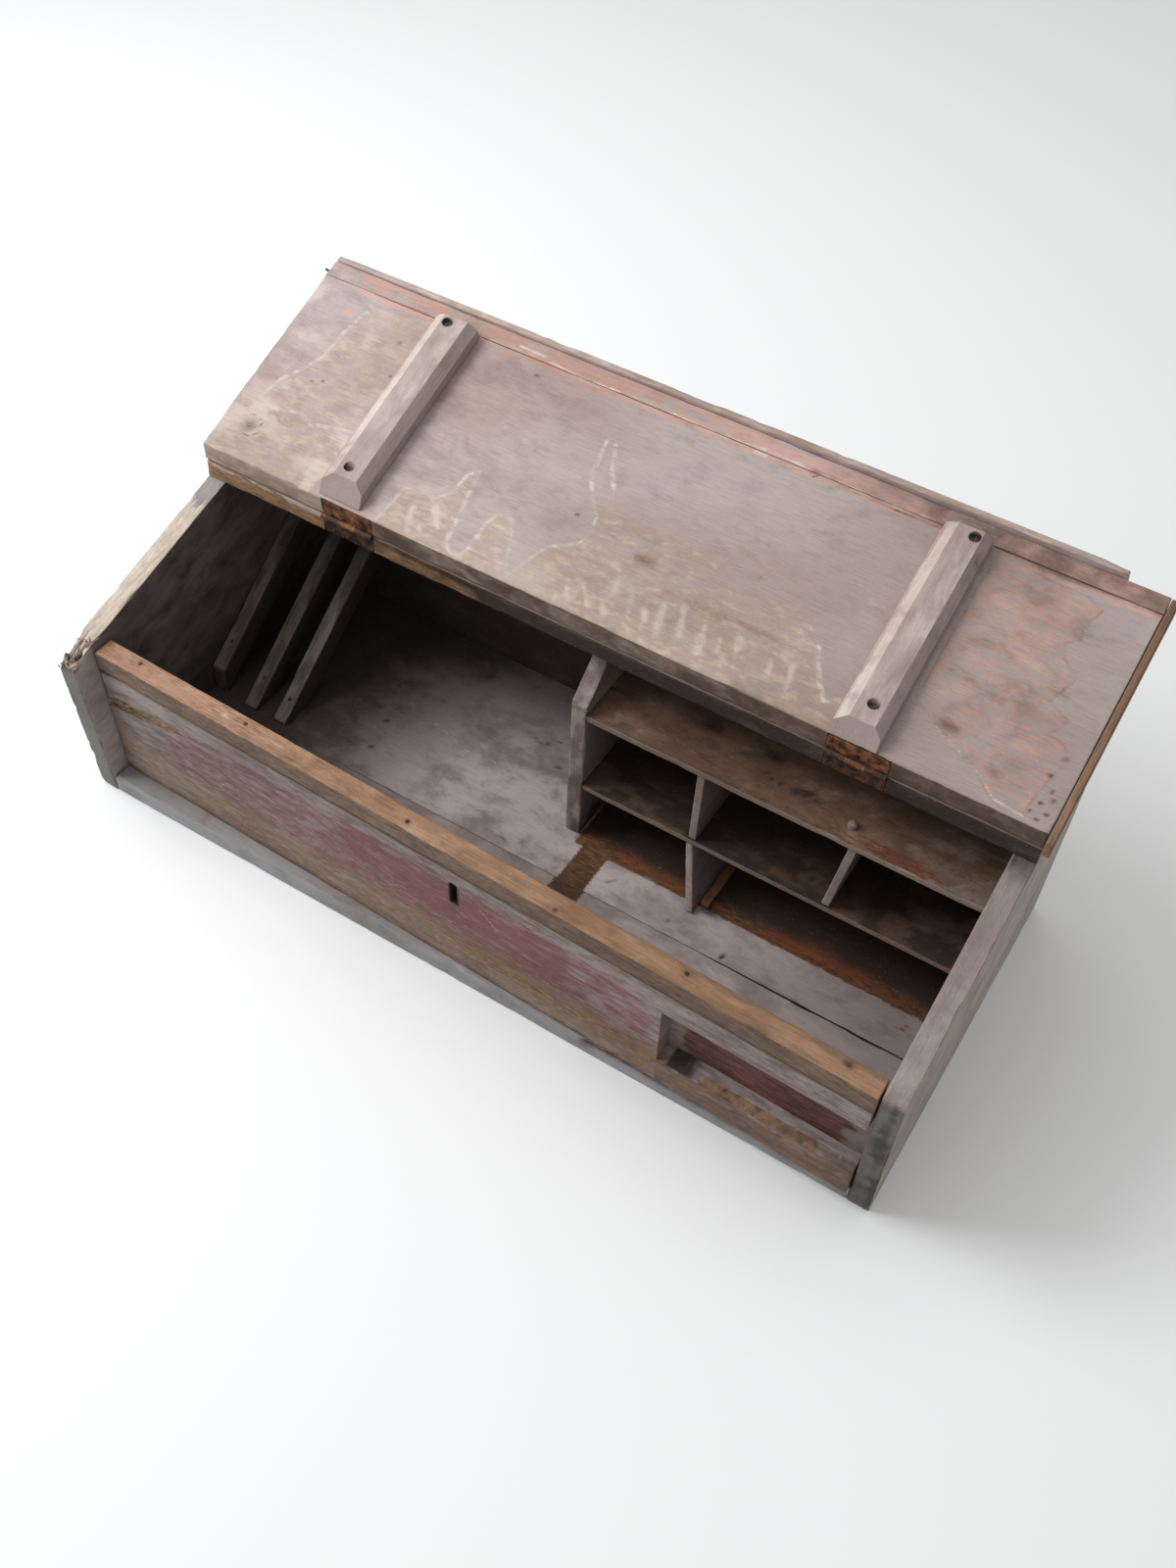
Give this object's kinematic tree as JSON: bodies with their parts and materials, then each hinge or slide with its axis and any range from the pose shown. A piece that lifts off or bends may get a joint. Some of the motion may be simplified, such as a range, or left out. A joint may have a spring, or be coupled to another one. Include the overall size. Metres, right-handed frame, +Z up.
{
  "type": "wooden storage chest",
  "caption": "Slant-top wooden tool chest with a folding lid on butt hinges, a saw rack of sloping bars and open pigeonholes behind a low front.",
  "frame": {"origin": "middle of the length and depth of the case, on the floor it stands on", "axes": "+X along the length to the right end, +Y from the front to the hinge side, +Z up"},
  "size_m": [0.8673, 0.4521, 0.3871],
  "materials": {
    "grey_paint": "weathered grey-lavender paint",
    "lid_paint": "faded lavender paint with water stains",
    "red_paint": "worn maroon paint",
    "bare_pine": "bare tan pine",
    "old_wood": "bare brown pine",
    "rusty_iron": "rusted",
    "dark_iron": "dark"
  },
  "bodies": {
    "case": {"left_end_board": "grey_paint", "right_end_board": "grey_paint", "bottom_front_board": "grey_paint", "bottom_back_board": "grey_paint", "back_board": "grey_paint", "fixed_top_board": "grey_paint", "front_board": "red_paint", "front_top_strip": "bare_pine", "hinge_left_rail_leaf": "rusty_iron", "hinge_left_pin": "dark_iron", "hinge_right_rail_leaf": "rusty_iron", "hinge_right_pin": "dark_iron", "saw_rack_bar_1": "grey_paint", "saw_rack_bar_2": "grey_paint", "saw_rack_bar_3": "grey_paint", "cubby_upright": "grey_paint", "cubby_top_shelf": "grey_paint", "cubby_mid_shelf": "grey_paint", "cubby_divider_left": "grey_paint", "cubby_divider_right": "grey_paint", "cubby_divider_low": "grey_paint", "drawer_runner": "old_wood", "shelf_button": "grey_paint"},
    "lid": {"lid_main_board": "lid_paint", "lid_front_board": "lid_paint", "lid_front_lip": "lid_paint", "lid_right_strip": "bare_pine", "lid_batten_left": "lid_paint", "lid_batten_right": "lid_paint", "batten_screw_left_near": "dark_iron", "batten_screw_left_far": "dark_iron", "batten_screw_right_near": "dark_iron", "batten_screw_right_far": "dark_iron", "hinge_left_lid_leaf": "rusty_iron", "hinge_right_lid_leaf": "rusty_iron"}
  },
  "joints": [
    {"name": "lid_hinge", "type": "hinge", "parent": "case", "child": "lid", "pos_m": [0, 0.0198, 0.27058], "axis": [1, 0, 0], "range_deg": [0, 171.2]}
  ]
}
